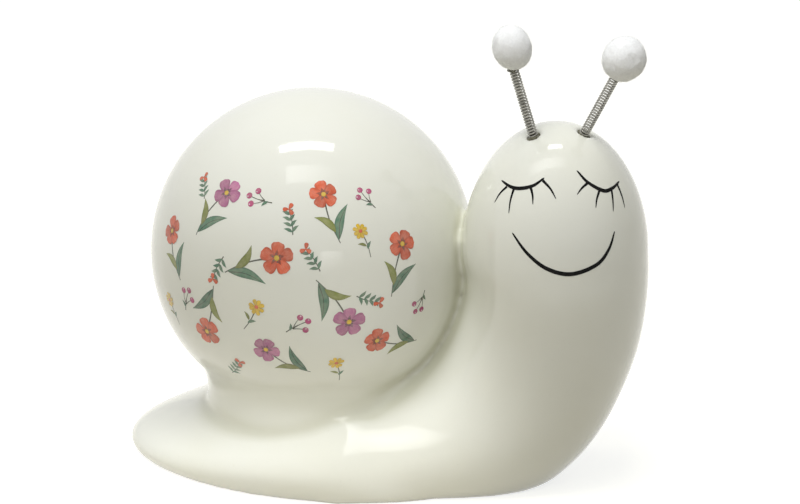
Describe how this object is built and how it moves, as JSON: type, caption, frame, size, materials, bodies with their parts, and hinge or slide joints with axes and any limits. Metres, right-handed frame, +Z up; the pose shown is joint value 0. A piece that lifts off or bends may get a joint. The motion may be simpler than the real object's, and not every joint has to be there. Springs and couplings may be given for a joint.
{
  "type": "snail figurine",
  "caption": "Glazed ceramic snail figurine: round printed shell on a flat foot, upright head with painted face, and felted balls on spring antennae that sway.",
  "frame": {"origin": "on the flat resting face, under the middle of the shell", "axes": "+X from the tail to the head, +Z up from the resting face, +Y across, away from the painted face"},
  "size_m": [0.1999, 0.121, 0.178],
  "materials": {
    "glaze": "gloss",
    "spring_wire": "satin",
    "felt": "matte",
    "glue": "gloss"
  },
  "bodies": {
    "casting": {"body_casting": "glaze", "shell_casting": "glaze", "head_glue_left": "glue", "head_glue_right": "glue"},
    "left_spring": {"antenna_spring_left": "spring_wire"},
    "left_ball": {"antenna_ball_left": "felt", "ball_glue_left": "glue"},
    "right_spring": {"antenna_spring_right": "spring_wire"},
    "right_ball": {"antenna_ball_right": "felt", "ball_glue_right": "glue"}
  },
  "joints": [
    {"name": "left_antenna_sway", "type": "hinge", "parent": "casting", "child": "left_spring", "pos_m": [0.08387, -0.00762, 0.14092], "axis": [-0.3579, 0.9323, 0.0523], "range_deg": [-20, 20], "stiffness_Nm_per_rad": 0.012, "deforming": ["antenna_spring_left"]},
    {"name": "left_ball_nod", "type": "hinge", "parent": "left_spring", "child": "left_ball", "pos_m": [0.0813, -0.00914, 0.15055], "axis": [0.8984, 0.3285, 0.2916], "range_deg": [-22, 22], "stiffness_Nm_per_rad": 0.022, "deforming": ["antenna_spring_left"]},
    {"name": "right_antenna_sway", "type": "hinge", "parent": "casting", "child": "right_spring", "pos_m": [0.10421, -0.00097, 0.14063], "axis": [0.3346, -0.8716, -0.3584], "range_deg": [-20, 20], "stiffness_Nm_per_rad": 0.012, "deforming": ["antenna_spring_right"]},
    {"name": "right_ball_nod", "type": "hinge", "parent": "right_spring", "child": "right_ball", "pos_m": [0.10861, -0.00293, 0.14949], "axis": [0.8355, 0.4502, -0.315], "range_deg": [-22, 22], "stiffness_Nm_per_rad": 0.022, "deforming": ["antenna_spring_right"]}
  ]
}
